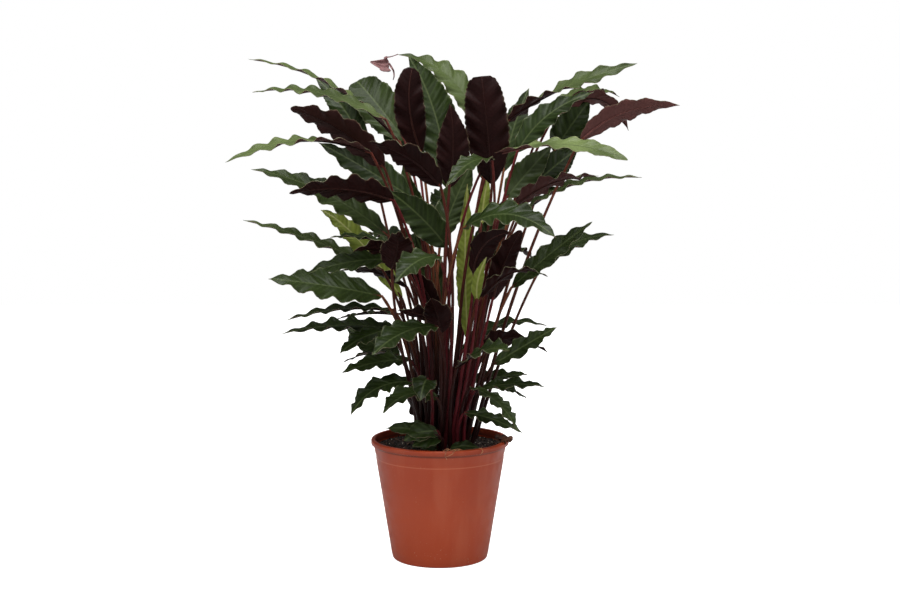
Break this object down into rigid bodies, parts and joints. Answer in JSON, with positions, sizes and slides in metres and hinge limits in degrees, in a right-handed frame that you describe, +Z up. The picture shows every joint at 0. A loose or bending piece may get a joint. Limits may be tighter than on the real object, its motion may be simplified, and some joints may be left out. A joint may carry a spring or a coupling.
{
  "type": "potted plant",
  "caption": "Calathea with long wavy lance-shaped leaves, green above and burgundy below, in a round tapered nursery pot.",
  "frame": {"origin": "middle of the pot's flat base, on the surface that it stands on", "axes": "+Z up the pot's axis, +X to the right and +Y away as seen from the front"},
  "size_m": [0.596, 0.4347, 0.6986],
  "materials": {
    "pot": "satin, terracotta colour",
    "soil": "loose, dark and crumbly, with pale grains",
    "leaf_green": "dark green above with a satin sheen, burgundy below",
    "leaf_burgundy": "burgundy underside, soft and matt",
    "leaf_young": "pale yellow-green, satin"
  },
  "bodies": {
    "root": {"pot": "pot", "soil": "soil", "leaf_left_high": "leaf_green", "leaf_left_second": "leaf_green", "leaf_left_back_dark": "leaf_green", "leaf_left_long": "leaf_green", "leaf_left_inner_green": "leaf_green", "leaf_left_mid_long": "leaf_green", "leaf_left_burgundy_big": "leaf_burgundy", "leaf_left_young": "leaf_young", "leaf_left_green_mid": "leaf_burgundy", "leaf_left_bottom_long": "leaf_burgundy", "leaf_left_green_big": "leaf_green", "leaf_front_left_green": "leaf_green", "leaf_left_low_green": "leaf_green", "leaf_left_bottom": "leaf_green", "leaf_left_bottom_burgundy": "leaf_burgundy", "leaf_soil_left_front": "leaf_green", "leaf_right_bottom": "leaf_green", "leaf_right_droop": "leaf_green", "leaf_right_low_green": "leaf_green", "leaf_right_low_small": "leaf_green", "leaf_back_low_right": "leaf_green", "leaf_right_low_thin": "leaf_green", "leaf_front_right_low": "leaf_green", "leaf_right_dark_upright": "leaf_burgundy", "leaf_right_green_mid": "leaf_green", "leaf_right_mid_back": "leaf_green", "leaf_right_arching": "leaf_burgundy", "leaf_front_right_green": "leaf_green", "leaf_right_burgundy_mid": "leaf_burgundy", "leaf_centre_young": "leaf_young", "leaf_right_dark_green": "leaf_green", "leaf_right_dark_wide": "leaf_green", "leaf_top_burgundy_right": "leaf_burgundy", "leaf_top_burgundy_centre": "leaf_burgundy", "leaf_top_burgundy_left": "leaf_burgundy", "leaf_top_burgundy_upright": "leaf_burgundy", "leaf_right_top_wavy": "leaf_green", "leaf_right_burgundy_back": "leaf_burgundy", "leaf_right_burgundy": "leaf_burgundy", "leaf_top_green_back": "leaf_green", "leaf_centre_back_green": "leaf_green", "leaf_centre_green": "leaf_green", "leaf_back_low_left": "leaf_green", "leaf_back_low_centre": "leaf_green", "leaf_back_mid_left": "leaf_green", "leaf_back_mid_right": "leaf_green", "leaf_back_mid_centre": "leaf_green", "leaf_back_high_left": "leaf_green", "leaf_back_high_right": "leaf_green"}
  },
  "joints": []
}
